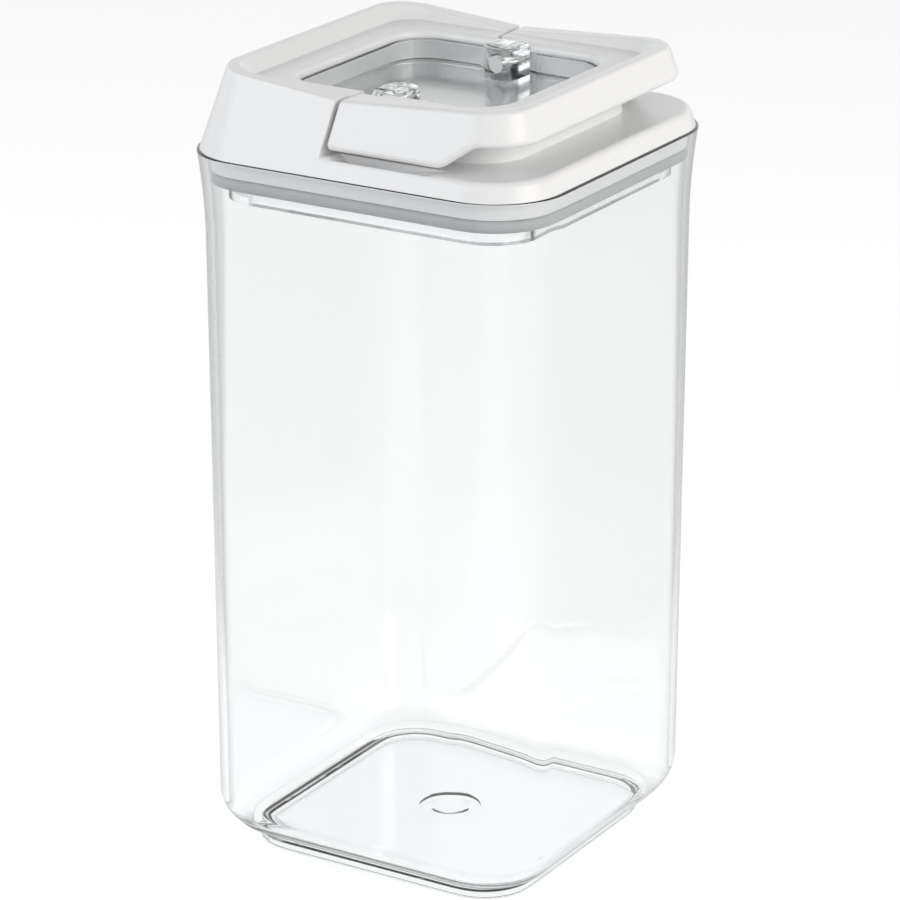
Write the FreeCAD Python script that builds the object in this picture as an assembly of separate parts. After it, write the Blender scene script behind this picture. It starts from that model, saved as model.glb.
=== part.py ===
import FreeCAD
import Part
import math
import os

# Square food canister with a flip lever that draws a clear plunger up against a sealing ring.
# Millimetres, +Z up, origin at the middle of the foot. The front face looks along -Y, and the
# lever's bar lies on the +X side. A "half" is half the width across the flats of a rounded square.

# Jar
jar_height = 212.5
rim_half = 57.5
jar_corner = 20.9
jar_wall = 2.4
flare = 2.16
flare_height = 28.0
flare_steps = 4
draft = 0.92
bottom_round = 12.0
rim_round = 0.5

# Jar foot and floor
foot_inset = 9.22
foot_corner = 15.4
foot_height = 3.6
foot_draft = 0.6
foot_ring = 3.0
foot_recess = 1.8
floor_inset = 1.5
floor_corner = 14.0
floor_thickness = 2.7
step_height = 2.5
step_run = 2.8
gate_radius = 7.75
gate_button_radius = 4.75
gate_depth = 0.5

# Lid shell and frame
lid_inset = 0.9
lid_height = 24.1
lid_slant = 8.3
lid_wall = 2.2
plate_height = 5.3
plate_thickness = 2.2
plate_round = 2.2
closing_ring = 2.0
seam_x = -5.5
seam_dip = 3.6
bar_dip = 0.6
seam_lean = 2.0
seam_gap = 1.0
rim_band = 6.1
dish_corner = 8.0
dish_depth = 4.2
ledge_width = 8.2
ledge_thickness = 2.4
opening_corner = 11.5
lip_inset = 2.0
lip_width = 1.6
lip_gap = 0.6
lip_round = 2.0
channel_depth = 4.4
collar_wall = 1.8
collar_lap = 0.4
edge_round = 0.8

# Skirt inside the mouth
skirt_gap = 0.9
skirt_drop = 5.1
skirt_wall = 2.0
ledge_inset = 6.4
press_ledge = 2.0

# Plunger
plunger_slide_gap = 0.5
crown_reach = 3.5
crown_corner = 13.0
window_height = 11.0
plunger_wall = 2.2
shoulder_reach = 9.0
shoulder_corner = 12.5
shoulder_height = 3.6
flange_reach = 2.5
flange_corner = 14.0
flange_thickness = 4.5
post_radius = 5.5
post_reach = 5.5
post_rise = 9.5
post_round = 1.2
post_gap = 0.5

# Sealing ring
gasket_height = 4.1
gasket_gap = 0.1
gasket_bulge = 0.6
gasket_round = 6.0
gasket_bore_gap = 0.3

# Lever
panel_gap = 1.6
bar_gap = 8.3
panel_end_x = 29.0
bar_start_x = 38.5
heel_round = 1.5
curve_round = 6.0
hem_round = 1.6
seam_round = 2.0
lever_angle = 90.0
plunger_drop = 2.5

# Pivot and cam
pivot_x = 1.0
pivot_rise = 10.0
pin_radius = 1.5
pin_head_radius = 2.5
pin_head_length = 1.6
pin_head_sink = 1.2
pin_fit = 0.03
pin_running = 0.08
pin_end_gap = 0.2
ear_gap = 0.4
ear_thickness = 3.6
cam_inset = 0.6
cam_width = 4.8
cam_clearance = 0.2
cam_back = 6.0
cam_toe = 3.0
travel_steps = 18
heel_clearance = 0.4
pocket_shift = 2.0
heel_wall = 1.8

# Reach of a cutter well past the object and just past a face, how close counts as touching, and
# how far from upright a normal may lean on a face that counts as level
beyond = 90.0
over = 1.0
touch = 0.05
level_angle = 8.0

# Heights
rim_z = jar_height
lid_top_z = rim_z + lid_height
plate_z = rim_z + plate_height
dish_z = lid_top_z - dish_depth
ledge_under_z = dish_z - ledge_thickness
channel_z = dish_z - channel_depth
skirt_z = rim_z - skirt_drop
flange_z = skirt_z - gasket_height
shoulder_z = flange_z + shoulder_height
window_z = rim_z + window_height
lip_under_z = window_z + lip_gap
collar_z = lip_under_z + collar_lap
panel_z = plate_z + panel_gap
bar_z = plate_z + bar_gap
pivot_z = plate_z + pivot_rise
floor_z = foot_recess + floor_thickness
step_z = floor_z + step_height

# Half-widths that follow from the ones above. Walls lean as even offsets, so the flat part of a side
# keeps its width all the way up.
rim_flat = rim_half - jar_corner
wall_top_half = rim_half - flare
wall_foot_half = wall_top_half - draft
foot_half = wall_foot_half - foot_inset
floor_half = foot_half - floor_inset
inner_round = wall_foot_half - jar_wall - floor_half - step_run
lid_half = rim_half - lid_inset
lid_top_half = lid_half - lid_slant
dish_half = lid_top_half - rim_band
opening_half = dish_half - ledge_width
lip_half = opening_half + lip_inset
lip_corner = opening_corner + lip_inset
crown_half = opening_half + crown_reach
shoulder_half = crown_half + shoulder_reach
flange_half = shoulder_half + flange_reach
plate_opening = crown_half + plunger_slide_gap
plate_opening_corner = crown_corner + plunger_slide_gap
collar_half = plate_opening + collar_wall
collar_corner = plate_opening_corner + collar_wall
post_back = opening_half - post_gap
post_tip = post_back - post_reach - post_radius
ear_inner = post_back + ear_gap
ear_outer = ear_inner + ear_thickness
ear_radius = pivot_z - window_z - ear_gap


def vector(x, y, z):
    return FreeCAD.Vector(x, y, z)


def rounded_square(half, corner, z):
    """Closed wire of a rounded square at one height."""
    flat = half - corner
    bend = flat + corner * math.sqrt(0.5)
    edges = []
    for quarter in range(4):
        turn = FreeCAD.Rotation(vector(0, 0, 1), 90 * quarter)
        side = [turn.multVec(p) for p in (vector(half, -flat, z), vector(half, flat, z))]
        arc = [turn.multVec(p) for p in (vector(bend, bend, z), vector(flat, half, z))]
        edges.append(Part.LineSegment(side[0], side[1]).toShape())
        edges.append(Part.Arc(side[1], arc[0], arc[1]).toShape())
    return Part.Wire(edges)


def block(half, corner, low, high):
    """Upright rounded-square block between two heights."""
    return Part.Face(rounded_square(half, corner, low)).extrude(vector(0, 0, high - low))


def side_plate(points, near=-beyond, far=beyond):
    """Solid with an (x, z) outline, running along Y from near to far."""
    corners = [vector(x, near, z) for x, z in points]
    return Part.Face(Part.makePolygon(corners + corners[:1])).extrude(vector(0, far - near, 0))


def taper(half, corner, low, far_half, high):
    """Rounded-square block with evenly leaning walls: plane sides and cone corners."""
    flat = half - corner
    sides = side_plate([(-half, low), (half, low), (far_half, high), (-far_half, high)], -flat, flat)
    bend = Part.makeCone(corner, far_half - flat, high - low, vector(flat, flat, low), vector(0, 0, 1), 90)
    turned = [bend.rotated(vector(0, 0, 0), vector(0, 0, 1), 90 * quarter) for quarter in range(4)]
    turned.append(sides.rotated(vector(0, 0, 0), vector(0, 0, 1), 90))
    return sides.multiFuse(turned).removeSplitter()


def cross_pin(radius, x, z, near, far):
    """Cylinder along Y."""
    return Part.makeCylinder(radius, far - near, vector(x, near, z), vector(0, 1, 0))


def round_edges(solid, radius, test):
    """Rounds the edges whose middle passes the test."""
    edges = [edge for edge in solid.Edges if test(edge.CenterOfMass)]
    return solid.makeFillet(radius, edges)


def mirror_front(solid):
    """The same solid on the other side of the middle plane."""
    return solid.mirror(vector(0, 0, 0), vector(0, 1, 0))


def flare_half(z):
    """Half-width of the jar's mouth outside, which opens out along a parabola."""
    return wall_top_half + flare * (1 - (rim_z - z) / flare_height) ** 2


def jar_flare(inset):
    """Mouth of the jar, in even steps of height."""
    heights = [rim_z - flare_height * (1 - step / flare_steps) for step in range(flare_steps + 1)]
    rings = []
    for low, high in zip(heights, heights[1:]):
        half = flare_half(low) - inset
        rings.append(taper(half, half - rim_flat, low, flare_half(high) - inset, high))
    return rings[0].multiFuse(rings[1:])


def jar_body(inset, low, rounding):
    """Straight part of the jar with its bottom edge rounded."""
    half = wall_foot_half - inset
    body = taper(half, half - rim_flat, low, wall_top_half - inset, rim_z - flare_height)
    body = round_edges(body, rounding, lambda p: p.z < low + touch)
    return body.fuse(jar_flare(inset))


def make_jar():
    foot = taper(foot_half, foot_corner, 0, foot_half + foot_draft, foot_height + foot_draft)
    outside = jar_body(0, foot_height, bottom_round).fuse(foot)
    inside = jar_body(jar_wall, step_z, inner_round)
    floor_step = taper(floor_half, floor_corner, floor_z, floor_half + step_run, step_z)
    recess = block(foot_half - foot_ring, foot_corner - foot_ring, 0, foot_recess)
    gate = Part.makeCylinder(gate_radius, gate_depth, vector(0, 0, floor_z - gate_depth))
    button = Part.makeCylinder(gate_button_radius, gate_depth, vector(0, 0, floor_z - gate_depth))
    jar = outside.cut(inside.fuse(floor_step)).cut(recess).cut(gate.cut(button))
    jar = jar.removeSplitter()
    return round_edges(jar, rim_round, lambda p: p.z > rim_z - touch)


def lid_half_at(z):
    """Half-width of the slanting lid wall outside, at a height."""
    return lid_half - lid_slant * (z - rim_z) / lid_height


def lid_blank(low, high, inset=0):
    """Body inside the slanting lid wall, set in by a wall."""
    half = lid_half_at(low) - inset
    return taper(half, half - rim_flat, low, lid_half_at(high) - inset, high)


def seam_at(z, gap=0):
    """Lever's end face, which leans outwards towards the foot; the gap gives the fixed half's face."""
    fall = lid_top_z - seam_dip - z
    return seam_x - seam_lean * fall / (lid_top_z - seam_dip - panel_z) - gap


def frame_top(x):
    """Height of the frame's top edge, which dips in a V at the seam."""
    seam_z = lid_top_z - seam_dip
    if x < seam_x:
        return seam_z + seam_dip * (seam_x - x) / (lid_top_half + seam_x)
    return seam_z + (seam_dip - bar_dip) * (x - seam_x) / (lid_top_half - seam_x)


def make_frame():
    """Whole dished frame before it is split into the fixed half and the lever."""
    blank = lid_blank(rim_z, lid_top_z + over)
    above = [(-beyond, frame_top(-beyond)), (seam_x, frame_top(seam_x)), (beyond, frame_top(beyond))]
    above += [(beyond, lid_top_z + beyond), (-beyond, lid_top_z + beyond)]
    slope_height = dish_depth + over
    dish = taper(dish_half, dish_corner, dish_z, dish_half + slope_height, dish_z + slope_height)
    opening = block(opening_half, opening_corner, rim_z - over, lid_top_z)
    return blank.cut(side_plate(above)).cut(dish).cut(opening)


def on_seam(edge, gap):
    """Whether an edge lies in the seam's face."""
    points = [vertex.Point for vertex in edge.Vertexes]
    return all(abs(point.x - seam_at(point.z, gap)) < touch for point in points)


def is_level(face):
    """Whether a face looks up, give or take the V of the frame's top."""
    return face.normalAt(0, 0).z > math.cos(math.radians(level_angle))


def on_lip(edge):
    """Whether an edge lies on the upper edge of the opening."""
    box = edge.BoundBox
    reach = max(abs(box.XMin), abs(box.XMax), abs(box.YMin), abs(box.YMax))
    return abs(box.ZMin - dish_z) + box.ZLength < touch and reach < opening_half + touch


def round_frame(half_frame, gap):
    """Rounds the top edges and the lip of one half of the frame."""
    tops = [face for face in half_frame.Faces if face.CenterOfMass.z > dish_z + touch and is_level(face)]
    edges = [edge for face in tops for edge in face.OuterWire.Edges if not on_seam(edge, gap)]
    half_frame = half_frame.makeFillet(edge_round, edges)
    lip = [edge for edge in half_frame.Edges if on_lip(edge) and not on_seam(edge, gap)]
    return half_frame.makeFillet(lip_round, lip)


def under_frame(low, high):
    """Room under the frame between two heights, without the lip that hangs round the opening."""
    lip = block(lip_half + lip_width, lip_corner + lip_width, lip_under_z, ledge_under_z)
    lip = lip.cut(block(lip_half, lip_corner, lip_under_z, ledge_under_z))
    return lid_blank(low, high, lid_wall).cut(lip)


def frame_hollow():
    """Lower room under the frame, open at the lever's end."""
    return under_frame(skirt_z, channel_z)


def frame_channel():
    """Upper room under the frame, closed at the lever's end by a wall."""
    return under_frame(channel_z, ledge_under_z)


def seam_side(gap, left):
    """Everything on one side of the leaning seam."""
    low_z = rim_z - beyond
    high_z = lid_top_z + beyond
    far_x = -beyond if left else beyond
    return side_plate([
        (seam_at(low_z, gap), low_z), (seam_at(high_z, gap), high_z), (far_x, high_z), (far_x, low_z),
    ])


def heel_at(share):
    """Middle of the heel's rounding, (x, z), at a share of the lever's travel."""
    angle = math.radians(lever_angle) * share
    x = seam_at(panel_z) + heel_round - pivot_x
    z = panel_z + heel_round - pivot_z
    turned_x = x * math.cos(angle) - z * math.sin(angle)
    turned_z = x * math.sin(angle) + z * math.cos(angle)
    return pivot_x + turned_x, pivot_z - plunger_drop * share + turned_z


def heel_pocket(front):
    """Scoop in the plate, where the heel swings below the plate's top, running out under the panel."""
    middle_x = pivot_x + pocket_shift
    middle_z = pivot_z - plunger_drop / 2
    path = [heel_at(step / travel_steps) for step in range(travel_steps + 1)]
    reach = max(math.hypot(x - middle_x, z - middle_z) for x, z in path)
    radius = reach + heel_round + heel_clearance
    run = panel_end_x - middle_x
    fall = middle_z - plate_z
    angle = -math.atan2(fall, run) - math.acos(radius / math.hypot(run, fall))
    ramp = [
        (middle_x, plate_z), (middle_x + radius * math.cos(angle), middle_z + radius * math.sin(angle)),
        (panel_end_x, plate_z), (panel_end_x, panel_z), (middle_x, panel_z),
    ]
    outer = lid_half_at(panel_z) + heel_clearance
    inner = lid_half_at(pivot_z) - lid_wall - heel_clearance
    pocket = cross_pin(radius, middle_x, middle_z, inner, outer).fuse(side_plate(ramp, inner, outer))
    return mirror_front(pocket) if front else pocket


def heel_block(front):
    """Solid left under the plate, round the heel pocket."""
    pocket = heel_pocket(front).BoundBox
    low = pocket.ZMin - heel_wall
    size = vector(pocket.XLength, pocket.YLength + 2 * heel_wall, plate_z - low)
    return Part.makeBox(size.x, size.y, size.z, vector(pocket.XMin, pocket.YMin - heel_wall, low))


def collar_ring(high):
    """Wall that guides the plunger, from the underside of the plate up to a height."""
    low = plate_z - plate_thickness
    ring = block(collar_half, collar_corner, low, high)
    return ring.cut(block(plate_opening, plate_opening_corner, low, high))


def make_collar():
    """Guide round the plunger: hung from the fixed half's ledge, and low on the plate beyond the ears."""
    hung = collar_ring(ledge_under_z + ledge_thickness / 2).common(seam_side(seam_gap, left=True))
    start_x = pivot_x + ear_radius + ear_gap
    ahead = Part.makeBox(beyond, 2 * beyond, beyond, vector(start_x, -beyond, rim_z))
    return hung.fuse(collar_ring(collar_z).common(ahead))


def make_lid_shell(frame):
    plate = round_edges(lid_blank(rim_z, plate_z), plate_round, lambda p: p.z > plate_z - touch)
    fixed = round_frame(frame.common(seam_side(seam_gap, left=True)), seam_gap)
    shell = plate.fuse(fixed)
    skirt_half = lid_half - lid_wall - skirt_gap
    skirt_corner = skirt_half - rim_flat
    shell = shell.fuse(block(skirt_half, skirt_corner, skirt_z, rim_z + closing_ring))
    ledge_half = skirt_half - ledge_inset
    shell = shell.cut(block(ledge_half, skirt_corner - ledge_inset, skirt_z, skirt_z + press_ledge))
    bore_half = skirt_half - skirt_wall
    bore_corner = skirt_corner - skirt_wall
    shell = shell.cut(block(bore_half, bore_corner, skirt_z + press_ledge, rim_z + closing_ring))
    tall = frame_hollow().fuse(frame_channel()).common(seam_side(seam_gap + lid_wall, left=True))
    low = lid_blank(rim_z, plate_z - plate_thickness, lid_wall)
    above_ring = block(rim_half, jar_corner, rim_z + closing_ring, lid_top_z)
    hollow = tall.fuse(low).common(above_ring)
    for front in (True, False):
        hollow = hollow.cut(heel_block(front))
    shell = shell.cut(hollow).fuse(make_collar())
    shell = shell.cut(block(plate_opening, plate_opening_corner, skirt_z, lip_under_z))
    for front in (True, False):
        shell = shell.cut(heel_pocket(front).common(seam_side(seam_gap, left=False)))
    return shell.removeSplitter()


def lever_outline():
    """Side view of the lever: top, seam, heel, panel, curve up to the bar."""
    seam_z = frame_top(seam_x)
    top = (seam_at(seam_z), seam_z)
    heel = (seam_at(panel_z), panel_z)
    panel_end = (panel_end_x, panel_z)
    bar_start = (bar_start_x, bar_z)
    outline = side_plate([top, heel, panel_end, bar_start, (beyond, bar_z), (beyond, frame_top(beyond))])
    corners = [(top, seam_round), (heel, heel_round), (panel_end, curve_round), (bar_start, curve_round)]
    for corner, radius in corners:
        outline = round_edges(outline, radius, lambda p: math.dist((p.x, p.z), corner) < touch)
    return outline


def on_wall(edge):
    """Whether an edge lies in the slanting outer wall."""
    points = [vertex.Point for vertex in edge.Vertexes]
    points.append(edge.valueAt((edge.FirstParameter + edge.LastParameter) / 2))
    gaps = []
    for point in points:
        across = max(abs(point.x) - rim_flat, 0)
        along = max(abs(point.y) - rim_flat, 0)
        gaps.append(abs(rim_flat + math.hypot(across, along) - lid_half_at(point.z)))
    return max(gaps) < touch


def lever_blank():
    """Body inside the lever's outer faces, with its hem rounded."""
    blank = lid_blank(rim_z, lid_top_z + over).common(lever_outline())
    low = [edge for edge in blank.Edges if edge.BoundBox.ZMax < bar_z + touch]
    hem = [edge for edge in low if on_wall(edge) and not on_seam(edge, 0)]
    return blank.makeFillet(hem_round, hem)


def cam_profile():
    """Outline of the cam about the pivot.

    The reach towards the plate shrinks evenly with the lever's angle, so the curve is the
    involute of a circle whose radius is the plunger's drop per radian.
    """
    rate = plunger_drop / math.radians(lever_angle)
    reach = pivot_rise - cam_clearance
    curve = []
    for step in range(travel_steps + 1):
        angle = math.radians(lever_angle) * step / travel_steps
        now = reach - rate * angle
        x = -now * math.sin(angle) + rate * math.cos(angle)
        z = -now * math.cos(angle) - rate * math.sin(angle)
        curve.append((x, z))
    return curve


def make_cam():
    """One cam, on the rear side, running up into the ledge."""
    near = collar_half + cam_inset
    curve = [vector(pivot_x + x, near, pivot_z + z) for x, z in cam_profile()]
    face_edge = Part.BSplineCurve()
    face_edge.interpolate(curve)
    top = ledge_under_z + ledge_thickness / 2
    back = [
        curve[-1],
        vector(curve[-1].x, near, top),
        vector(pivot_x + cam_back, near, top),
        vector(pivot_x + cam_back, near, curve[0].z + cam_toe),
        curve[0],
    ]
    outline = Part.Wire([face_edge.toShape()] + Part.makePolygon(back).Edges)
    return Part.Face(outline).extrude(vector(0, cam_width, 0))


def make_lever(frame):
    lever = round_frame(frame.common(seam_side(0, left=False)), 0).common(lever_blank())
    lever = lever.cut(frame_hollow())
    lever = lever.cut(frame_channel().common(seam_side(-lid_wall, left=False)))
    end_half = max(ear_outer, lip_half + lip_width) + ear_gap
    end_room = Part.makeBox(beyond, 2 * end_half, beyond, vector(pivot_x - beyond, -end_half, rim_z))
    end_room = end_room.cut(cross_pin(ear_radius, pivot_x, pivot_z, -beyond, beyond))
    lever = lever.cut(end_room)
    top = ledge_under_z + ledge_thickness / 2
    ear_side = Part.makeBox(4 * ear_radius, beyond, beyond, vector(pivot_x - 2 * ear_radius, 0, top - beyond))
    ear = cross_pin(ear_radius, pivot_x, pivot_z, ear_inner, ear_outer).common(ear_side)
    cam = make_cam()
    hole = cross_pin(pin_radius + pin_running, pivot_x, pivot_z, -ear_outer - ear_gap, ear_outer + ear_gap)
    for piece in (ear, cam):
        lever = lever.fuse(piece).fuse(mirror_front(piece))
    return lever.cut(hole).removeSplitter()


def make_post():
    """Clear post on the rear side: flat towards the lever's arm, round towards the middle."""
    middle = post_back - post_reach
    low = window_z - plunger_wall / 2
    post = Part.makeCylinder(post_radius, window_z + post_rise - low, vector(pivot_x, middle, low))
    web = Part.makeBox(
        2 * post_radius, post_reach, window_z + post_rise - low,
        vector(pivot_x - post_radius, middle, low),
    )
    post = post.fuse(web).removeSplitter()
    return round_edges(post, post_round, lambda p: p.z > window_z + post_rise - touch)


def make_plunger():
    crown = block(crown_half, crown_corner, flange_z, window_z)
    shoulder = block(shoulder_half, shoulder_corner, flange_z, shoulder_z)
    flange = block(flange_half, flange_corner, flange_z - flange_thickness, flange_z)
    hat = crown.fuse(shoulder).fuse(flange)
    hollow = block(
        crown_half - plunger_wall, crown_corner - plunger_wall,
        flange_z - flange_thickness, window_z - plunger_wall,
    )
    wide_hollow = block(
        shoulder_half - plunger_wall, shoulder_corner - plunger_wall,
        flange_z - flange_thickness, shoulder_z - plunger_wall,
    )
    hat = hat.cut(hollow).cut(wide_hollow)
    hole = cross_pin(pin_radius + pin_fit, pivot_x, pivot_z, 0, post_back + ear_gap)
    seat = cross_pin(pin_head_radius + pin_fit, pivot_x, pivot_z, 0, pin_seat())
    post = make_post().cut(hole).cut(seat)
    return hat.fuse(post).fuse(mirror_front(post)).removeSplitter()


def pin_seat():
    """Distance of the pin head's seat from the middle plane."""
    return post_tip + pin_head_sink + pin_head_length


def make_pin():
    """Rear pivot pin, its head towards the middle."""
    seat = pin_seat()
    head = cross_pin(pin_head_radius, pivot_x, pivot_z, seat - pin_head_length, seat)
    shank = cross_pin(pin_radius, pivot_x, pivot_z, seat, ear_outer - pin_end_gap)
    return head.fuse(shank)


def make_gasket():
    middle_z = flange_z + gasket_height / 2
    half = flare_half(middle_z) - jar_wall - gasket_gap
    narrow = half - gasket_bulge
    lower = taper(narrow, narrow - rim_flat, flange_z, half, middle_z)
    upper = taper(half, half - rim_flat, middle_z, narrow, skirt_z)
    ring = round_edges(lower.fuse(upper), gasket_round, lambda p: abs(p.z - middle_z) < touch)
    bore = block(shoulder_half + gasket_bore_gap, shoulder_corner + gasket_bore_gap, flange_z, skirt_z)
    return ring.cut(bore)


def main():
    os.makedirs("parts", exist_ok=True)
    frame = make_frame()
    rear_pin = make_pin()
    pieces = {
        "jar": make_jar(),
        "lid_shell": make_lid_shell(frame),
        "lever": make_lever(frame),
        "plunger": make_plunger(),
        "gasket": make_gasket(),
        "pivot_pin_front": mirror_front(rear_pin),
        "pivot_pin_rear": rear_pin,
    }
    for node, shape in pieces.items():
        shape.exportStep("parts/" + node + ".step")
        print(node, len(shape.Solids), shape.isValid(), round(shape.Volume, 1), shape.BoundBox)


main()
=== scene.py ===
import math

import bmesh
import bpy
from bpy.props import FloatProperty, FloatVectorProperty, IntProperty, PointerProperty
from mathutils import Matrix, Vector


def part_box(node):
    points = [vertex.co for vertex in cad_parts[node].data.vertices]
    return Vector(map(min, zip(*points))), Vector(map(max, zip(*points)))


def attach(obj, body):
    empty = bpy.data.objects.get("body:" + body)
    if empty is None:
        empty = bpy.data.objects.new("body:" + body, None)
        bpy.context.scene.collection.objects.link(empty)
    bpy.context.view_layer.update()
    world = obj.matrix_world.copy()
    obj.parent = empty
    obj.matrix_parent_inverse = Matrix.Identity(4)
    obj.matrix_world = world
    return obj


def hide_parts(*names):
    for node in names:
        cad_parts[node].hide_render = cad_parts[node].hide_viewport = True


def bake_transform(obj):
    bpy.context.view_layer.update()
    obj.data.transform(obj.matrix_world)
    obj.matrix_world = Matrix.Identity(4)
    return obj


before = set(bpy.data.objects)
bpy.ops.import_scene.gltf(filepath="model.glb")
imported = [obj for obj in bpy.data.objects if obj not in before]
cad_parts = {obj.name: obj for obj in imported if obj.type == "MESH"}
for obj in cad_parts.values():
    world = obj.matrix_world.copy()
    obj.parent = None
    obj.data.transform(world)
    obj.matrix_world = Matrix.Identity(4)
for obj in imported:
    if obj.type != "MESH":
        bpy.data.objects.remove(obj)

bl_info = {
    "name": "Flip Lever Canister",
    "version": (1, 0, 0),
    "blender": (4, 5, 0),
    "location": "View3D > Sidebar > Canister",
    "description": "Dresses a square clear food canister with a white flip lever lid",
    "category": "Object",
}

MM = 0.001
# Vertices closer than this are merged; edges that turn more than this stay sharp.
MERGE = 0.002 * MM
SHARP = math.radians(32.0)
# Share of an upright corner's turn over which its bend eases in, and out again.
CORNER_EASE = 0.25
# Share of the room at the inner bottom edge that its rounding takes up.
INNER_ROUND = 0.98
# Slopes of the moulding mark: tilt of their normals; half width and greatest depth, in mark depths.
GATE_SLOPE = 0.45
GATE_LIP = 1.1
# Depth of the relief on moulded skins.
RELIEF = 0.2 * MM
# Stage, in metres: where the lamps stand, their width and height, what they face, the floor's half width.
KEY_SPOT, KEY_SIZE = (-0.8, -0.95, 0.75), (1.0, 0.9)
SIDE_SPOT, SIDE_SIZE = (1.2, -0.1, 0.62), (0.8, 0.8)
LAMP_AIM = (0.0, 0.0, 0.16)
FLOOR_REACH = 8.0
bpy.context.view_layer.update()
JAR_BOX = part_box("jar")
RING_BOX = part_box("gasket")
PIN_MIDDLE = sum(corner[0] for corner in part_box("pivot_pin_rear")) / 2


def length(name, description, default):
    """Length property; its default is given in millimetres."""
    return FloatProperty(
        name=name, description=description, default=default * MM, min=0.0, precision=4,
        subtype="DISTANCE", unit="LENGTH",
    )


def colour(name, description, default):
    """Colour property."""
    return FloatVectorProperty(
        name=name, description=description, default=default, min=0.0, max=1.0, size=3, subtype="COLOR",
    )


def share(name, description, default, top=1.0):
    """Plain number property from nought to its top."""
    return FloatProperty(
        name=name, description=description, default=default, min=0.0, max=top, subtype="FACTOR",
    )


def watts(name, description, default):
    """Lamp power property."""
    return FloatProperty(name=name, description=description, default=default, min=0.0, unit="POWER")


class CanisterJar(bpy.types.PropertyGroup):
    """Sizes of the clear jar."""
    height: length("Height", "From the foot to the rim", JAR_BOX[1][2] / MM)
    rim_half: length("Rim half width", "Half the width of the mouth across the flats", 57.5)
    corner: length("Corner", "Radius of the upright corners at the rim", 20.9)
    wall: length("Wall", "Thickness of the wall", 2.4)
    flare: length("Flare", "How far the mouth opens out", 2.16)
    flare_height: length("Flare height", "Height of the flared mouth", 28.0)
    draft: length("Draft", "How far the wall narrows down to the foot", 0.92)
    bottom_round: length("Bottom rounding", "Radius of the outer bottom edge", 12.0)
    rim_round: length("Rim rounding", "Radius of the rim's edges", 0.5)
    foot_half: length("Foot half width", "Half the width of the set-in foot", 45.2)
    foot_corner: length("Foot corner", "Corner radius of the foot", 15.4)
    foot_height: length("Foot height", "Height of the set-in foot", 3.6)
    foot_draft: length("Foot draft", "How far the foot widens upwards", 0.6)
    foot_ring: length("Standing ring", "Width of the ring that the jar stands on", 3.0)
    foot_recess: length("Foot recess", "Depth of the hollow under the floor", 1.8)
    floor_half: length("Floor half width", "Half the width of the sunk floor", 43.7)
    floor_corner: length("Floor corner", "Corner radius of the sunk floor", 14.0)
    floor_thickness: length("Floor thickness", "Thickness of the floor", 2.7)
    step_height: length("Step height", "Height of the step round the floor", 2.5)
    step_run: length("Step run", "Width of the slope of that step", 2.8)
    gate_radius: length("Gate mark", "Outer radius of the round moulding mark", 8.7)
    gate_button: length("Gate button", "Radius of the button in the moulding mark", 5.0)
    gate_depth: length("Gate depth", "Depth of the moulding mark", 0.5)
    edge_round: length("Edge rounding", "Radius of the small edges at the foot and floor", 0.5)
    corner_steps: IntProperty(
        name="Corner steps", description="Faces round each upright corner", default=20, min=4,
    )
    side_steps: IntProperty(name="Side steps", description="Faces along each flat side", default=4, min=1)


class CanisterWell(bpy.types.PropertyGroup):
    """Sizes of the clear wall that stands round the window."""
    half: length("Half width", "Half the width of the wall's middle line", 34.1)
    corner: length("Corner", "Corner radius of the wall's middle line", 11.6)
    thickness: length("Thickness", "Thickness of the wall", 1.4)
    low: length("Foot", "Height of the wall's foot, sunk in the window", 223.0)
    high: length("Head", "Height of the wall's top edge", 229.6)
    edge: length("Edge rounding", "Radius of the top edges", 0.5)
    middle: length("Pivot line", "How far the pivots stand towards the lever's bar", PIN_MIDDLE / MM)
    gap: length("Post gap", "From the pivot line to each end of the wall", 7.5)
    lip_level: length("Lip level", "Height of the lower edge of the white lip round the wall", 224.1)
    lip_drop: length("Lip drop", "How far that edge is brought down towards the window", 0.5)


class CanisterSeal(bpy.types.PropertyGroup):
    """Sizes of the sealing ring."""
    half: length("Half width", "Half the width of the ring across the flats", RING_BOX[1][0] / MM)
    corner: length("Corner", "Corner radius of the ring", 17.5)
    depth: length("Depth", "Thickness of the ring from bore to face", 6.6)
    low: length("Foot", "Height of the ring's lower face", RING_BOX[0][2] / MM)
    high: length("Head", "Height of the ring's upper face", RING_BOX[1][2] / MM)
    edge: length("Edge rounding", "Radius of the ring's edges", 1.2)
    bulge: length("Bulge", "How far the face bulges when squeezed", 0.6)


class CanisterFinish(bpy.types.PropertyGroup):
    """Colours and finishes."""
    white: colour("White plastic", "Colour of the lid and the lever", (0.86, 0.862, 0.866))
    pin_white: colour("Pin plastic", "Colour of the pivot pins", (0.82, 0.82, 0.81))
    silicone: colour("Silicone", "Colour of the sealing ring", (0.47, 0.485, 0.495))
    clear: colour("Clear plastic", "Surface tint of the jar and the plunger", (0.98, 0.986, 0.988))
    clear_depth: colour("Clear depth", "Tint inside thick clear plastic", (0.58, 0.63, 0.65))
    clear_density: FloatProperty(
        name="Clear density", description="How strongly thick clear plastic darkens", default=12.0, min=0.0,
    )
    # Painted edge shade: a dark tint mixed into clear plastic where it is seen edge on, standing in for the
    # shade at its edges.
    clear_edge_shade: colour("Clear edge", "Tint of clear plastic that is seen edge on", (0.27, 0.3, 0.32))
    clear_shadow: colour("Clear shadow", "Tint of light that passes a clear surface", (0.93, 0.94, 0.94))
    clear_index: FloatProperty(
        name="Clear index", description="Refractive index of the clear plastic", default=1.55, min=1.0,
    )


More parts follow.
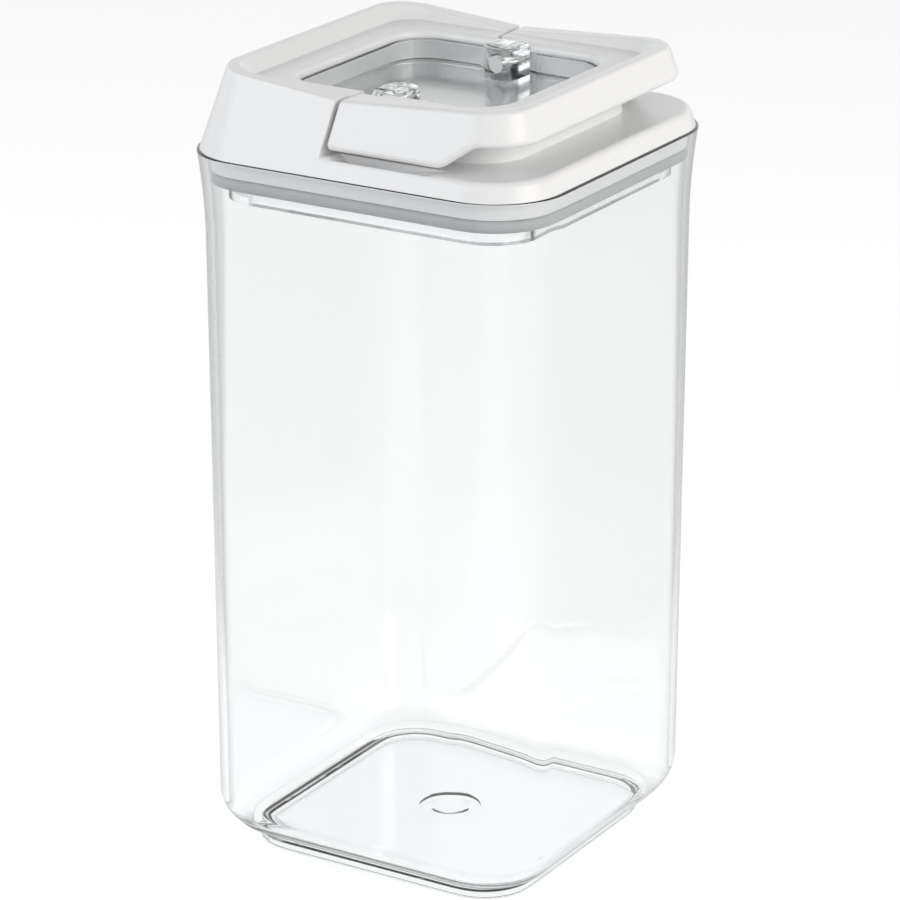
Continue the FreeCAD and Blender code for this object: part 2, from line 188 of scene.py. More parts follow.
class CanisterStage(bpy.types.PropertyGroup):
    """Camera and light."""
    azimuth: FloatProperty(
        name="Azimuth", description="Camera's turn from the front face",
        default=math.radians(31.37), subtype="ANGLE",
    )
    elevation: FloatProperty(
        name="Elevation", description="Camera's height angle", default=math.radians(20.27), subtype="ANGLE",
    )
    distance: length("Distance", "From the camera to its target", 1210.24)
    target: length("Target height", "Height of the point the camera faces", 106.28)
    lens: FloatProperty(
        name="Lens", description="Focal length on a 36 mm frame", default=165.62, unit="CAMERA",
    )
    shift: FloatProperty(name="Shift", description="Upward shift of the frame", default=0.0401)
    floor: colour("Floor", "Colour of the floor", (0.8, 0.8, 0.8))
    floor_glow: share("Floor glow", "White that camera, mirrored and clear rays see on the floor", 0.53, 2.0)
    paper_half: length("Paper half width", "Half the width of the white paper that clear pieces show", 130.0)
    paper_fade: length("Paper fade", "Width over which that white fades into the floor", 150.0)
    paper_mirrored: share("Mirrored floor", "Least share of that white that mirrored rays see", 0.45)
    fill: share("Fill", "Light from all round, at the horizon", 1.0, 4.0)
    overhead: share("Overhead", "Share of that light that comes from straight above", 0.18)
    shown: share("Shown", "White that mirrored and clear rays see all round", 1.25, 4.0)
    shown_overhead: share("Shown overhead", "White that those rays see straight above", 0.6, 4.0)
    key_power: watts("Key power", "Power of the large lamp", 6.0)
    side_power: watts("Side power", "Power of the side lamp", 7.0)
    key_colour: colour("Key colour", "Tint of the large lamp", (0.93, 0.96, 1.0))
    side_colour: colour("Side colour", "Tint of the side lamp", (1.0, 0.97, 0.92))


# Geometry

def corner_bend(steps):
    """Quarter turn whose bend eases in and out: inward and sideways runs from 0 to 1, angles and reach."""
    fine = 20
    count = steps * fine
    most = math.pi / 2 / (1 - CORNER_EASE)
    inward, sideways, angle = 0.0, 0.0, 0.0
    bend = [(inward, sideways, angle)]
    for index in range(count):
        part = (index + 0.5) / count
        turn = most * min(1.0, part / CORNER_EASE, (1 - part) / CORNER_EASE) / count
        inward += math.sin(angle + turn / 2)
        sideways += math.cos(angle + turn / 2)
        angle += turn
        if (index + 1) % fine == 0:
            bend.append((inward, sideways, angle))
    middle = bend[steps // 2][0] / inward
    reach = (1 - math.cos(math.pi / 4)) / middle
    return [(run / inward, side / sideways, angle) for run, side, angle in bend[:-1]], reach


def ring_points(half, flat, z, jar):
    """One rounded square: points and outward directions, the same count at every size."""
    quarter_bend, reach = corner_bend(jar.corner_steps)
    corner = (half - flat) * reach
    flat = half - corner
    points = []
    for quarter in range(4):
        turn = math.pi / 2 * quarter
        cosine, sine = math.cos(turn), math.sin(turn)
        along = [(half, flat * (2 * step / jar.side_steps - 1), 0.0) for step in range(jar.side_steps)]
        bend = [
            (half - corner * inward, flat + corner * sideways, angle)
            for inward, sideways, angle in quarter_bend
        ]
        for x, y, angle in along + bend:
            spot = Vector((x * cosine - y * sine, x * sine + y * cosine, z))
            points.append((spot, Vector((math.cos(turn + angle), math.sin(turn + angle), 0.0))))
    return points


def circle_points(radius, z, count):
    """One round ring with as many points as the rounded squares, from the same corner on."""
    points = []
    for step in range(count):
        angle = 2 * math.pi * step / count - math.pi / 4
        out = Vector((math.cos(angle), math.sin(angle), 0.0))
        points.append((out * radius + Vector((0, 0, z)), out))
    return points


def soften(path, steps):
    """Rounds the corners of a (half, flat, z, radius) path with tangent arcs of so many steps a quarter."""
    soft = []
    for index, (half, flat, z, radius) in enumerate(path):
        here = Vector((half, z))
        if radius == 0 or index in (0, len(path) - 1):
            soft.append((half, flat, z))
            continue
        before, after = path[index - 1], path[index + 1]
        back = Vector((before[0], before[2])) - here
        ahead = Vector((after[0], after[2])) - here
        turn = math.pi - back.angle(ahead)
        reach = radius * math.tan(turn / 2)
        flat_back = flat + (before[1] - flat) * min(1.0, reach / back.length)
        flat_ahead = flat + (after[1] - flat) * min(1.0, reach / ahead.length)
        middle = here + (back.normalized() + ahead.normalized()).normalized() * (radius / math.cos(turn / 2))
        first = here + back.normalized() * reach - middle
        last = here + ahead.normalized() * reach - middle
        sweep = first.angle_signed(last)
        count = max(2, math.ceil(steps * turn / (math.pi / 2)))
        for step in range(count + 1):
            part = step / count
            arm = first.copy()
            arm.rotate(Matrix.Rotation(-sweep * part, 2))
            spot = middle + arm
            soft.append((spot.x, flat_back + (flat_ahead - flat_back) * part, spot.y))
    return soft


def path_normals(path):
    """Outward (half, z) directions along a path, led by its longer neighbours."""
    normals = []
    for index in range(len(path)):
        before = path[max(index - 1, 0)]
        after = path[min(index + 1, len(path) - 1)]
        along = Vector((after[0] - before[0], after[2] - before[2]))
        along.normalize()
        normals.append((along.y, -along.x))
    return normals


def jar_path(jar):
    """Half section of the jar from under its floor, up the outside and down the inside."""
    rim_flat = jar.rim_half - jar.corner
    foot_flat = jar.foot_half - jar.foot_corner
    floor_flat = jar.floor_half - jar.floor_corner
    wall_top = jar.rim_half - jar.flare
    wall_foot = wall_top - jar.draft
    flare_z = jar.height - jar.flare_height
    floor_z = jar.foot_recess + jar.floor_thickness
    step_z = floor_z + jar.step_height
    edge = jar.edge_round
    ledge_half = jar.floor_half + jar.step_run
    inner_round = wall_foot - jar.wall - ledge_half
    path = [
        (jar.gate_radius * 2, jar.gate_radius, jar.foot_recess, 0),
        (jar.foot_half - jar.foot_ring, foot_flat, jar.foot_recess, edge),
        (jar.foot_half - jar.foot_ring, foot_flat, 0, edge),
        (jar.foot_half, foot_flat, 0, edge),
        (jar.foot_half + jar.foot_draft, foot_flat, jar.foot_height, edge),
        (wall_foot, rim_flat, jar.foot_height, jar.bottom_round),
    ]
    flare_steps = 10
    outside = []
    for step in range(flare_steps + 1):
        rise = step / flare_steps
        outside.append((wall_top + jar.flare * rise ** 2, rim_flat, flare_z + jar.flare_height * rise, 0))
    path += outside[:-1]
    path.append((jar.rim_half, rim_flat, jar.height, jar.rim_round))
    path.append((jar.rim_half - jar.wall, rim_flat, jar.height, jar.rim_round))
    for half, flat, z, _ in reversed(outside[:-1]):
        path.append((half - jar.wall, flat, z, 0))
    path += [
        (wall_foot - jar.wall, rim_flat, step_z, inner_round * INNER_ROUND),
        (ledge_half, floor_flat, step_z, edge),
        (jar.floor_half, floor_flat, floor_z, edge),
        (jar.gate_radius * 2, jar.gate_radius, floor_z, 0),
    ]
    return soften(path, steps=8)


def add_object(name, mesh, material):
    """Object for a finished mesh, at the origin."""
    piece = bpy.data.objects.new(name, mesh)
    bpy.context.scene.collection.objects.link(piece)
    mesh.materials.clear()
    mesh.materials.append(material)
    return piece


def jar_mesh(jar):
    """Closed jar mesh, with quads round its section and normals that follow that section."""
    path = jar_path(jar)
    normals = path_normals(path)
    floor_z = jar.foot_recess + jar.floor_thickness
    rings = []
    for (half, flat, z), (out, up) in zip(path, normals):
        rise = Vector((0, 0, up))
        ring = ring_points(half, flat, z, jar)
        rings.append([(spot, (side * out + rise).normalized()) for spot, side in ring])
    count = len(rings[0])
    down = Vector((0, 0, -1))
    above = Vector((0, 0, 1))
    under = [[(spot, down) for spot, _ in circle_points(jar.gate_radius, jar.foot_recess, count)]]
    lip = jar.gate_depth * GATE_LIP
    mark = [
        (jar.gate_radius + lip, floor_z, above), (jar.gate_radius, floor_z - lip, None),
        (jar.gate_radius - lip, floor_z - jar.gate_depth, above),
        (jar.gate_button + lip, floor_z - jar.gate_depth, above), (jar.gate_button, floor_z - lip, None),
        (jar.gate_button - lip, floor_z, above),
    ]
    inner = []
    for index, (radius, z, normal) in enumerate(mark):
        tilt = (-1 if index == 1 else 1) * GATE_SLOPE
        ring = circle_points(radius, z, count)
        inner.append([(spot, normal or (above + side * tilt).normalized()) for spot, side in ring])
    rings = under + rings + inner
    build = bmesh.new()
    verts = []
    vectors = []
    for ring in rings:
        verts.append([build.verts.new(spot) for spot, _ in ring])
        vectors += [normal for _, normal in ring]
    low_pole = build.verts.new((0, 0, jar.foot_recess))
    high_pole = build.verts.new((0, 0, floor_z))
    vectors += [down, above]
    for lower, upper in zip(verts, verts[1:]):
        for step in range(count):
            after = (step + 1) % count
            build.faces.new((lower[step], lower[after], upper[after], upper[step]))
    for step in range(count):
        after = (step + 1) % count
        build.faces.new((low_pole, verts[0][after], verts[0][step]))
        build.faces.new((high_pole, verts[-1][step], verts[-1][after]))
    for face in build.faces:
        face.smooth = True
    mesh = bpy.data.meshes.new("jar_clear")
    build.to_mesh(mesh)
    build.free()
    mesh.normals_split_custom_set_from_vertices([tuple(vector) for vector in vectors])
    return mesh


def well_line(well, start):
    """Middle line of half the clear wall round the window: points and outward directions."""
    flat = well.half - well.corner
    steps = 12
    line = [(Vector((start, -well.half, 0)), Vector((0, -1, 0)))]
    for turn, side in ((-math.pi / 2, -1), (0.0, 1)):
        for step in range(steps + 1):
            angle = turn + math.pi / 2 * step / steps
            out = Vector((math.cos(angle), math.sin(angle), 0))
            line.append((Vector((flat, side * flat, 0)) + out * well.corner, out))
    line.append((Vector((start, well.half, 0)), Vector((0, 1, 0))))
    return line


def well_section(well):
    """Upright section of the clear wall, with a rounded top: offsets and heights."""
    half = well.thickness / 2
    steps = 4
    section = [(-half, well.low), (half, well.low)]
    for side in (1, -1):
        bend = []
        for step in range(steps + 1):
            angle = math.pi / 2 * step / steps
            across = half - well.edge + well.edge * math.cos(angle)
            bend.append((side * across, well.high - well.edge + well.edge * math.sin(angle)))
        section += bend if side > 0 else reversed(bend)
    return section


def well_mesh(well):
    """Clear wall round the window in two halves, open at the posts."""
    build = bmesh.new()
    section = well_section(well)
    for side in (1, -1):
        turned = Matrix.Rotation(0.0 if side > 0 else math.pi, 3, "Z")
        rings = []
        for middle, out in well_line(well, side * well.middle + well.gap):
            ring = [turned @ (middle + out * offset + Vector((0, 0, z))) for offset, z in section]
            rings.append([build.verts.new(spot) for spot in ring])
        for before, after in zip(rings, rings[1:]):
            for index in range(len(section)):
                follow = (index + 1) % len(section)
                build.faces.new((before[index], before[follow], after[follow], after[index]))
        build.faces.new(rings[0])
        build.faces.new(reversed(rings[-1]))
    bmesh.ops.recalc_face_normals(build, faces=build.faces)
    mesh = bpy.data.meshes.new("well_wall")
    build.to_mesh(mesh)
    build.free()
    return mesh


def joined(first, second):
    """Mesh of two closed shapes made one."""
    drafts = []
    for mesh in (first, second):
        draft = bpy.data.objects.new(mesh.name + "_draft", mesh)
        bpy.context.scene.collection.objects.link(draft)
        drafts.append(draft)
    union = drafts[0].modifiers.new("union", "BOOLEAN")
    union.operation = "UNION"
    union.solver = "EXACT"
    union.object = drafts[1]
    graph = bpy.context.evaluated_depsgraph_get()
    mesh = bpy.data.meshes.new_from_object(drafts[0].evaluated_get(graph))
    for draft in drafts:
        bpy.data.objects.remove(draft)
    return mesh


def merged_copy(node_name):
    """Copy of a CAD node's mesh with its loose triangles merged."""
    build = bmesh.new()
    build.from_mesh(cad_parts[node_name].data)
    bmesh.ops.remove_doubles(build, verts=build.verts, dist=MERGE)
    mesh = bpy.data.meshes.new(node_name + "_copy")
    build.to_mesh(mesh)
    build.free()
    return mesh


def moulded_copy(node_name, piece_name, material, added=None):
    """Merged copy of a CAD node, with any added form, and with soft, face-weighted normals."""
    copy = merged_copy(node_name)
    if added:
        copy = joined(copy, added)
    build = bmesh.new()
    build.from_mesh(copy)
    bmesh.ops.remove_doubles(build, verts=build.verts, dist=MERGE)
    for face in build.faces:
        face.smooth = True
    for edge in build.edges:
        edge.smooth = not (len(edge.link_faces) == 2 and edge.calc_face_angle() > SHARP)
    mesh = bpy.data.meshes.new(piece_name)
    build.to_mesh(mesh)
    build.free()
    draft = bpy.data.objects.new(piece_name + "_draft", mesh)
    bpy.context.scene.collection.objects.link(draft)
    weight = draft.modifiers.new("weighted normals", "WEIGHTED_NORMAL")
    weight.keep_sharp = True
    return finished(draft, piece_name, material)


def finished(draft, name, material):
    """Plain mesh object from a draft with modifiers."""
    graph = bpy.context.evaluated_depsgraph_get()
    mesh = bpy.data.meshes.new_from_object(draft.evaluated_get(graph))
    mesh.name = name
    bpy.data.objects.remove(draft)
    return add_object(name, mesh, material)


def socket_input(tree, name, kind, default=None):
    """Named input of a node group."""
    socket = tree.interface.new_socket(name=name, in_out="INPUT", socket_type=kind)
    if default is not None:
        socket.default_value = default


def place(tree, kind, settings=None, **inputs):
    """Node with settings, and values or links on its inputs, which go by name or as _0, _1 by number."""
    node = tree.nodes.new(kind)
    for name, value in (settings or {}).items():
        setattr(node, name, value)
    for name, value in inputs.items():
        numbered = name[0] == "_" and name[1:].isdigit()
        socket = node.inputs[int(name[1:]) if numbered else name.replace("_", " ")]
        if isinstance(value, bpy.types.NodeSocket):
            tree.links.new(value, socket)
        else:
            socket.default_value = value
    return node


def maths(tree, operation, first, second=0.0):
    """Result of one sum."""
    return place(tree, "ShaderNodeMath", {"operation": operation}, _0=first, _1=second).outputs[0]


def seal_tree():
    """Geometry nodes for a rounded-square ring with a bulging face."""
    tree = bpy.data.node_groups.new("Sealing Ring", "GeometryNodeTree")
    tree.interface.new_socket(name="Geometry", in_out="OUTPUT", socket_type="NodeSocketGeometry")
    for name in ("Half Width", "Corner", "Depth", "Low", "High", "Edge", "Bulge"):
        socket_input(tree, name, "NodeSocketFloat")
    socket_input(tree, "Material", "NodeSocketMaterial")
    given = tree.nodes.new("NodeGroupInput").outputs
    corner_steps, edge_steps, section_points = 14, 6, 44
    half_depth = maths(tree, "MULTIPLY", given["Depth"], 0.5)
    flat_half = maths(tree, "SUBTRACT", given["Half Width"], given["Bulge"])
    path_width = maths(tree, "MULTIPLY", maths(tree, "SUBTRACT", flat_half, half_depth), 2.0)
    flat_corner = maths(tree, "SUBTRACT", given["Corner"], given["Bulge"])
    path_corner = maths(tree, "SUBTRACT", flat_corner, half_depth)
    square = place(tree, "GeometryNodeCurvePrimitiveQuadrilateral", Width=path_width, Height=path_width)
    path = place(
        tree, "GeometryNodeFilletCurve", {"mode": "POLY"},
        Curve=square.outputs[0], Count=corner_steps, Radius=path_corner,
    )
    height = maths(tree, "SUBTRACT", given["High"], given["Low"])
    section = place(tree, "GeometryNodeCurvePrimitiveQuadrilateral", Width=given["Depth"], Height=height)
    section = place(
        tree, "GeometryNodeFilletCurve", {"mode": "POLY"},
        Curve=section.outputs[0], Count=edge_steps, Radius=given["Edge"],
    )
    section = place(tree, "GeometryNodeResampleCurve", Curve=section.outputs[0], Count=section_points)
    body = place(tree, "GeometryNodeCurveToMesh", Curve=path.outputs[0], Profile_Curve=section.outputs[0])
    spot = place(tree, "ShaderNodeSeparateXYZ", _0=tree.nodes.new("GeometryNodeInputPosition").outputs[0])
    level = maths(tree, "DIVIDE", spot.outputs[2], maths(tree, "MULTIPLY", height, 0.5))
    belly = maths(tree, "SUBTRACT", 1.0, maths(tree, "MULTIPLY", level, level))
    swell = maths(tree, "DIVIDE", given["Bulge"], given["Half Width"])
    grow = maths(tree, "ADD", 1.0, maths(tree, "MULTIPLY", belly, swell))
    middle = maths(tree, "MULTIPLY", maths(tree, "ADD", given["High"], given["Low"]), 0.5)
    moved = place(
        tree, "ShaderNodeCombineXYZ",
        _0=maths(tree, "MULTIPLY", spot.outputs[0], grow), _1=maths(tree, "MULTIPLY", spot.outputs[1], grow),
        _2=maths(tree, "ADD", spot.outputs[2], middle),
    )
    body = place(tree, "GeometryNodeSetPosition", Geometry=body.outputs[0], Position=moved.outputs[0])
    body = place(tree, "GeometryNodeSetShadeSmooth", Geometry=body.outputs[0])
    body = place(tree, "GeometryNodeRealizeInstances", Geometry=body.outputs[0])
    body = place(tree, "GeometryNodeSetMaterial", Geometry=body.outputs[0], Material=given["Material"])
    place(tree, "NodeGroupOutput", _0=body.outputs[0])
    return tree


def set_inputs(modifier, values):
    """Sets a geometry nodes modifier's inputs by their sockets' identifiers."""
    for item in modifier.node_group.interface.items_tree:
        if item.in_out == "INPUT" and item.name in values:
            modifier[item.identifier] = values[item.name]


# Materials

def skin_group():
    """Shared effect: slight moulding waves, fine grain and uneven gloss."""
    name = "Moulded Skin"
    if name in bpy.data.node_groups:
        return bpy.data.node_groups[name]
    tree = bpy.data.node_groups.new(name, "ShaderNodeTree")
    for label, value in (
        ("Wave Scale", 30.0), ("Grain Scale", 900.0), ("Grain Share", 0.2), ("Smooth", 0.2), ("Rough", 0.3),
    ):
        socket_input(tree, label, "NodeSocketFloat", value)
    socket_input(tree, "Tint", "NodeSocketColor", (0.8, 0.8, 0.8, 1.0))
    socket_input(tree, "Drift", "NodeSocketFloat", 0.02)
    for label, kind in (
        ("Height", "NodeSocketFloat"), ("Roughness", "NodeSocketFloat"), ("Colour", "NodeSocketColor"),
    ):
        tree.interface.new_socket(name=label, in_out="OUTPUT", socket_type=kind)
    given = tree.nodes.new("NodeGroupInput").outputs
    spot = tree.nodes.new("ShaderNodeTexCoord").outputs["Object"]
    wave = place(
        tree, "ShaderNodeTexNoise", Vector=spot, Scale=given["Wave Scale"], Detail=2.0, Roughness=0.4,
    ).outputs[0]
    grain = place(tree, "ShaderNodeTexNoise", Vector=spot, Scale=given["Grain Scale"], Detail=3.0).outputs[0]
    height = place(
        tree, "ShaderNodeMix", {"data_type": "FLOAT"}, _0=given["Grain Share"], _2=wave, _3=grain,
    ).outputs[0]
    smudge = place(tree, "ShaderNodeTexNoise", Vector=spot, Scale=24.0, Detail=1.0, Roughness=0.4).outputs[0]
    gloss = place(
        tree, "ShaderNodeMapRange", Value=smudge, From_Min=0.3, From_Max=0.7,
        To_Min=given["Smooth"], To_Max=given["Rough"],
    ).outputs[0]
    off_middle = maths(tree, "SUBTRACT", wave, 0.5)
    lift = maths(tree, "ADD", 1.0, maths(tree, "MULTIPLY", off_middle, given["Drift"]))
    tinted = place(
        tree, "ShaderNodeVectorMath", {"operation": "SCALE"}, _0=given["Tint"], Scale=lift,
    ).outputs[0]
    place(tree, "NodeGroupOutput", _0=height, _1=gloss, _2=tinted)
    return tree


def skinned(name, tint, *, bump, smooth, rough, wave, grain, grain_share, drift, **settings):
    """Material on the shared moulded skin; returns it with its shader and output nodes."""
    material = bpy.data.materials.new(name)
    material.use_nodes = True
    tree = material.node_tree
    tree.nodes.clear()
    skin = place(
        tree, "ShaderNodeGroup", {"node_tree": skin_group()}, Wave_Scale=wave, Grain_Scale=grain,
        Grain_Share=grain_share, Smooth=smooth, Rough=rough, Tint=(*tint, 1.0), Drift=drift,
    )
    relief = place(tree, "ShaderNodeBump", Strength=bump, Distance=RELIEF, Height=skin.outputs["Height"])
    shader = place(
        tree, "ShaderNodeBsdfPrincipled", Base_Color=skin.outputs["Colour"],
        Roughness=skin.outputs["Roughness"], Normal=relief.outputs[0], **settings,
    )
    out = place(tree, "ShaderNodeOutputMaterial", Surface=shader.outputs[0])
    return material, shader, out


def clear_plastic(name, finish, smooth, rough, edge):
    """Clear moulded plastic; lamps shine through it and thick parts go slightly green grey. Its colour is
    painted darker where it is seen edge on, as painted edge shade.
    """
    material, shader, out = skinned(
        name, finish.clear, bump=0.05, smooth=smooth, rough=rough, wave=16.0, grain=700.0,
        grain_share=0.02, drift=0.004, IOR=finish.clear_index, Transmission_Weight=1.0,
    )
    tree = material.node_tree
    skin_colour = shader.inputs["Base Color"].links[0].from_socket
    # Painted edge shade: the base colour turns towards the dark edge tint as the surface turns edge on, up
    # to the share given by edge.
    facing = place(tree, "ShaderNodeLayerWeight", Blend=0.5).outputs["Facing"]
    edge_shade_share = place(
        tree, "ShaderNodeMapRange", {"interpolation_type": "SMOOTHSTEP"},
        Value=facing, From_Min=0.5, From_Max=0.95, To_Max=edge,
    ).outputs[0]
    tinted = place(
        tree, "ShaderNodeMix", {"data_type": "RGBA"},
        _0=edge_shade_share, _6=skin_colour, _7=(*finish.clear_edge_shade, 1.0),
    )
    tree.links.new(tinted.outputs[2], shader.inputs["Base Color"])
    shadow = place(tree, "ShaderNodeBsdfTransparent", Color=(*finish.clear_shadow, 1.0))
    rays = tree.nodes.new("ShaderNodeLightPath").outputs
    passing = maths(tree, "MAXIMUM", rays["Is Shadow Ray"], rays["Is Diffuse Ray"])
    both = place(tree, "ShaderNodeMixShader", _0=passing, _1=shader.outputs[0], _2=shadow.outputs[0])
    tree.links.new(both.outputs[0], out.inputs["Surface"])
    depth = place(
        tree, "ShaderNodeVolumeAbsorption", Color=(*finish.clear_depth, 1.0), Density=finish.clear_density,
    )
    tree.links.new(depth.outputs[0], out.inputs["Volume"])
    return material


def white_plastic(name, finish):
    """Glossy white moulded plastic."""
    return skinned(
        name, finish.white, bump=0.02, smooth=0.276, rough=0.284, wave=22.0, grain=1400.0,
        grain_share=0.05, drift=0.01, IOR=1.5,
    )[0]


def seal_silicone(name, finish):
    """Grey translucent silicone."""
    return skinned(
        name, finish.silicone, bump=0.25, smooth=0.38, rough=0.55, wave=60.0, grain=1600.0,
        grain_share=0.5, drift=0.05, IOR=1.41,
        Subsurface_Weight=0.5, Subsurface_Radius=(1.0, 1.0, 1.0), Subsurface_Scale=2.0 * MM,
    )[0]


def pin_plastic(name, finish):
    """Plain white plastic of the pins."""
    return skinned(
        name, finish.pin_white, bump=0.2, smooth=0.4, rough=0.55, wave=80.0, grain=2200.0,
        grain_share=0.5, drift=0.03, IOR=1.48,
    )[0]


def lower_lip(piece, well, side):
    """Brings the white lip's lower edge down to the window, clear of the pivots."""
    for vertex in piece.data.vertices:
        if abs(vertex.co.z - well.lip_level) < MERGE and side * (vertex.co.x - well.middle) > well.gap:
            vertex.co.z -= well.lip_drop


def give(node_name, material):
    """Gives a CAD node the finish of the piece that stands for it."""
    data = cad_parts[node_name].data
    data.materials.clear()
    data.materials.append(material)


def settle(piece, body, node_name, material):
    """Rides a piece on its body in place of its CAD node."""
    give(node_name, material)
    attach(piece, body)
    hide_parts(node_name)


# Operators

class CANISTER_OT_jar(bpy.types.Operator):
    """Builds the clear jar"""
    bl_idname = "canister.jar"
    bl_label = "Build Jar"

    def execute(self, context):
        finish = context.scene.canister_finish
        # edge=1.0 gives the jar the full painted edge shade.
        material = clear_plastic("jar clear plastic", finish, smooth=0.0, rough=0.03, edge=1.0)
        piece = add_object("jar_clear", jar_mesh(context.scene.canister_jar), material)
        settle(piece, "jar", "jar", material)
        return {"FINISHED"}


class CANISTER_OT_plunger(bpy.types.Operator):
    """Builds the clear plunger with its window and posts"""
    bl_idname = "canister.plunger"
    bl_label = "Build Plunger"

    def execute(self, context):
        finish = context.scene.canister_finish
        # edge=0.1 gives the plunger only a little painted edge shade.
        material = clear_plastic("plunger clear plastic", finish, smooth=0.09, rough=0.13, edge=0.1)
        piece = moulded_copy("plunger", "plunger_clear", material, well_mesh(context.scene.canister_well))
        settle(piece, "plunger", "plunger", material)
        return {"FINISHED"}


class CANISTER_OT_seal(bpy.types.Operator):
    """Builds the sealing ring"""
    bl_idname = "canister.seal"
    bl_label = "Build Sealing Ring"

    def execute(self, context):
        seal = context.scene.canister_seal
        material = seal_silicone("sealing ring silicone", context.scene.canister_finish)
        draft = bpy.data.objects.new("seal_draft", bpy.data.meshes.new("seal_draft"))
        context.scene.collection.objects.link(draft)
        modifier = draft.modifiers.new("ring", "NODES")
        modifier.node_group = seal_tree()
        set_inputs(modifier, {
            "Half Width": seal.half, "Corner": seal.corner, "Depth": seal.depth, "Low": seal.low,
            "High": seal.high, "Edge": seal.edge, "Bulge": seal.bulge, "Material": material,
        })
        piece = finished(draft, "sealing_ring", material)
        give("gasket", material)
        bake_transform(piece)
        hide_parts("gasket")
        return {"FINISHED"}


class CANISTER_OT_lid(bpy.types.Operator):
    """Builds the white lid shell and its flip lever"""
    bl_idname = "canister.lid"
    bl_label = "Build Lid and Lever"

    def execute(self, context):
        well = context.scene.canister_well
        for body, node_name, side in (("lid", "lid_shell", -1), ("lever", "lever", 1)):
            material = white_plastic(body + " white plastic", context.scene.canister_finish)
            piece = moulded_copy(node_name, body + "_white", material)
            lower_lip(piece, well, side)
            settle(piece, body, node_name, material)
        return {"FINISHED"}


class CANISTER_OT_pins(bpy.types.Operator):
    """Builds the two pivot pins"""
    bl_idname = "canister.pins"
    bl_label = "Build Pivot Pins"

    def execute(self, context):
        material = pin_plastic("pin plastic", context.scene.canister_finish)
        for side in ("front", "rear"):
            piece = moulded_copy("pivot_pin_" + side, "pin_" + side, material)
            settle(piece, "plunger", "pivot_pin_" + side, material)
        return {"FINISHED"}


# Stage

def aim(thing, target):
    """Turns a lamp or camera towards a point."""
    thing.rotation_euler = (Vector(target) - thing.location).to_track_quat("-Z", "Y").to_euler()


def lamp(name, spot, size, power, tint):
    """Soft rectangular lamp that faces the canister."""
    data = bpy.data.lights.new(name, "AREA")
    data.shape = "RECTANGLE"
    data.size, data.size_y = size
    data.energy = power
    data.color = tint
    thing = bpy.data.objects.new(name, data)
    bpy.context.scene.collection.objects.link(thing)
    thing.location = spot
    aim(thing, LAMP_AIM)


def stage_floor(stage):
    """Pale floor that looks white and keeps a soft shadow."""
    material = bpy.data.materials.new("studio floor")
    material.use_nodes = True
    tree = material.node_tree
    tree.nodes.clear()
    paint = place(tree, "ShaderNodeBsdfDiffuse", Color=(*stage.floor, 1.0))
    rays = tree.nodes.new("ShaderNodeLightPath").outputs
    spot = tree.nodes.new("ShaderNodeTexCoord").outputs["Object"]
    across = (math.cos(stage.azimuth), math.sin(stage.azimuth), 0.0)
    off_line = place(
        tree, "ShaderNodeVectorMath", {"operation": "DOT_PRODUCT"}, _0=spot, _1=across,
    ).outputs["Value"]
    paper = place(
        tree, "ShaderNodeMapRange", {"interpolation_type": "SMOOTHSTEP"},
        Value=maths(tree, "ABSOLUTE", off_line), From_Min=stage.paper_half,
        From_Max=stage.paper_half + stage.paper_fade, To_Min=1.0, To_Max=0.0,
    ).outputs[0]
    least_paper = maths(tree, "MAXIMUM", paper, stage.paper_mirrored)
    mirrored = maths(tree, "MULTIPLY", rays["Is Glossy Ray"], least_paper)
    through = maths(tree, "MULTIPLY", rays["Is Transmission Ray"], paper)
    seen = maths(tree, "MAXIMUM", rays["Is Camera Ray"], maths(tree, "MAXIMUM", mirrored, through))
    glow = place(tree, "ShaderNodeEmission", Strength=maths(tree, "MULTIPLY", seen, stage.floor_glow))
    both = place(tree, "ShaderNodeAddShader", _0=paint.outputs[0], _1=glow.outputs[0])
    place(tree, "ShaderNodeOutputMaterial", Surface=both.outputs[0])
    mesh = bpy.data.meshes.new("studio_floor")
    corners = [(x * FLOOR_REACH, y * FLOOR_REACH, 0) for x, y in ((-1, -1), (1, -1), (1, 1), (-1, 1))]
    mesh.from_pydata(corners, [], [(0, 1, 2, 3)])
    add_object("studio_floor", mesh, material)


def stage_world(stage):
    """White surroundings for the camera, softer ones for everything else."""
    world = bpy.data.worlds.new("studio")
    bpy.context.scene.world = world
    world.use_nodes = True
    tree = world.node_tree
    tree.nodes.clear()
    rays = tree.nodes.new("ShaderNodeLightPath").outputs
    mirrored = maths(tree, "MAXIMUM", rays["Is Glossy Ray"], rays["Is Transmission Ray"])
    spot = place(tree, "ShaderNodeSeparateXYZ", _0=tree.nodes.new("ShaderNodeTexCoord").outputs["Generated"])
    lit = place(
        tree, "ShaderNodeMapRange", Value=spot.outputs[2], From_Min=0.1, From_Max=0.9,
        To_Min=stage.fill, To_Max=stage.fill * stage.overhead,
    ).outputs[0]
    shown = place(
        tree, "ShaderNodeMapRange", Value=spot.outputs[2], From_Min=0.35, From_Max=0.8,
        To_Min=stage.shown, To_Max=stage.shown_overhead,
    ).outputs[0]
    strength = place(tree, "ShaderNodeMix", {"data_type": "FLOAT"}, _0=mirrored, _2=lit, _3=shown).outputs[0]
    strength = place(
        tree, "ShaderNodeMix", {"data_type": "FLOAT"}, _0=rays["Is Camera Ray"], _2=strength, _3=1.0,
    ).outputs[0]
    sky = place(tree, "ShaderNodeBackground", Color=(1.0, 1.0, 1.0, 1.0), Strength=strength)
    place(tree, "ShaderNodeOutputWorld", Surface=sky.outputs[0])


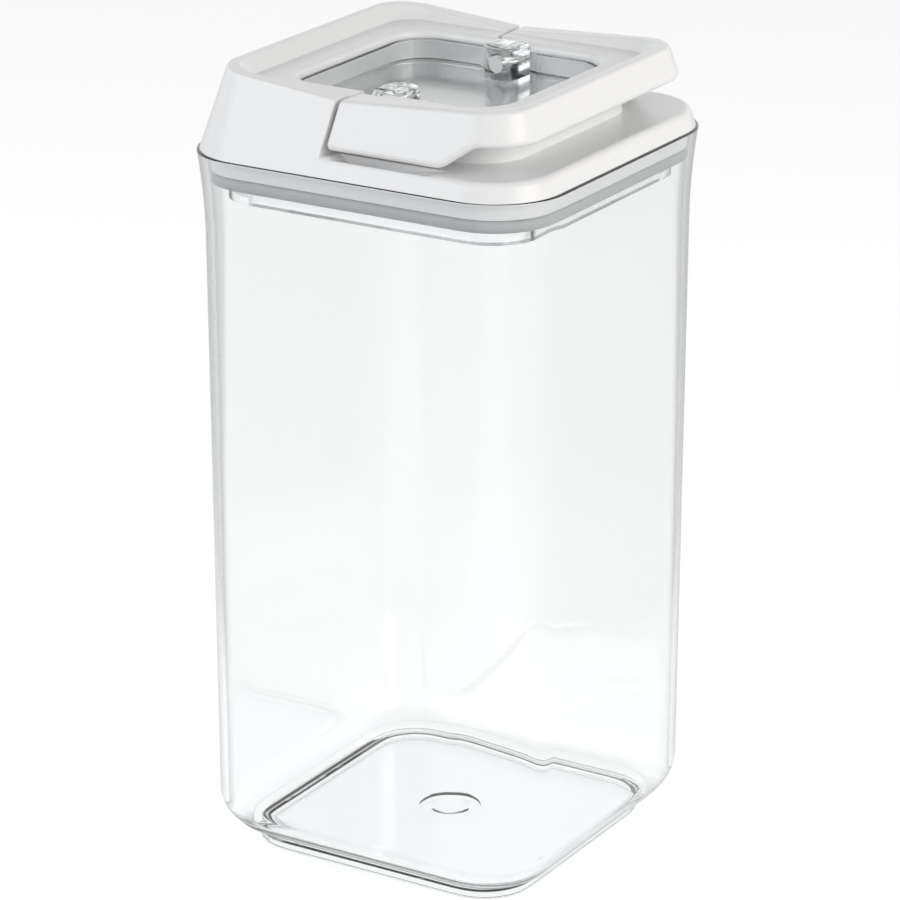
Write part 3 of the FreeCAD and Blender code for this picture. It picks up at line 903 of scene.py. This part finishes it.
class CANISTER_OT_stage(bpy.types.Operator):
    """Sets the floor, lamps, surroundings and camera"""
    bl_idname = "canister.stage"
    bl_label = "Set Stage"

    def execute(self, context):
        scene = context.scene
        stage = scene.canister_stage
        scene.view_settings.view_transform = "Standard"
        stage_floor(stage)
        stage_world(stage)
        lamp("key_lamp", KEY_SPOT, KEY_SIZE, stage.key_power, stage.key_colour)
        lamp("side_lamp", SIDE_SPOT, SIDE_SIZE, stage.side_power, stage.side_colour)
        data = bpy.data.cameras.new("photo_camera")
        data.lens = stage.lens
        data.sensor_width = 36.0
        data.shift_y = stage.shift
        data.clip_start = 0.05
        camera = bpy.data.objects.new("photo_camera", data)
        scene.collection.objects.link(camera)
        flat = math.cos(stage.elevation) * stage.distance
        camera.location = (
            math.sin(stage.azimuth) * flat, -math.cos(stage.azimuth) * flat,
            stage.target + math.sin(stage.elevation) * stage.distance,
        )
        aim(camera, (0, 0, stage.target))
        scene.camera = camera
        return {"FINISHED"}


# Panel and start

class CANISTER_PT_parts(bpy.types.Panel):
    """Lists the canister's pieces and their sizes"""
    bl_idname = "CANISTER_PT_parts"
    bl_label = "Canister"
    bl_space_type = "VIEW_3D"
    bl_region_type = "UI"
    bl_category = "Canister"

    def draw(self, context):
        for operator in OPERATORS:
            self.layout.operator(operator.bl_idname)
        for label, group_class in GROUPS.items():
            group = getattr(context.scene, label)
            column = self.layout.column(align=True)
            for field in group_class.__annotations__:
                column.prop(group, field)


OPERATORS = (
    CANISTER_OT_stage, CANISTER_OT_jar, CANISTER_OT_plunger, CANISTER_OT_seal, CANISTER_OT_lid,
    CANISTER_OT_pins,
)
GROUPS = {
    "canister_jar": CanisterJar, "canister_well": CanisterWell, "canister_seal": CanisterSeal,
    "canister_finish": CanisterFinish, "canister_stage": CanisterStage,
}


def register():
    """Adds the add-on's classes and settings."""
    for each in (*GROUPS.values(), *OPERATORS, CANISTER_PT_parts):
        bpy.utils.register_class(each)
    for label, group in GROUPS.items():
        setattr(bpy.types.Scene, label, PointerProperty(type=group))


def unregister():
    """Takes them away again."""
    for label in GROUPS:
        delattr(bpy.types.Scene, label)
    for each in (CANISTER_PT_parts, *reversed(OPERATORS), *reversed(tuple(GROUPS.values()))):
        bpy.utils.unregister_class(each)


def main():
    """Adds the settings, then builds the stage and every piece."""
    register()
    bpy.ops.canister.stage()
    bpy.ops.canister.jar()
    bpy.ops.canister.plunger()
    bpy.ops.canister.seal()
    bpy.ops.canister.lid()
    bpy.ops.canister.pins()


if __name__ == "__main__":
    main()
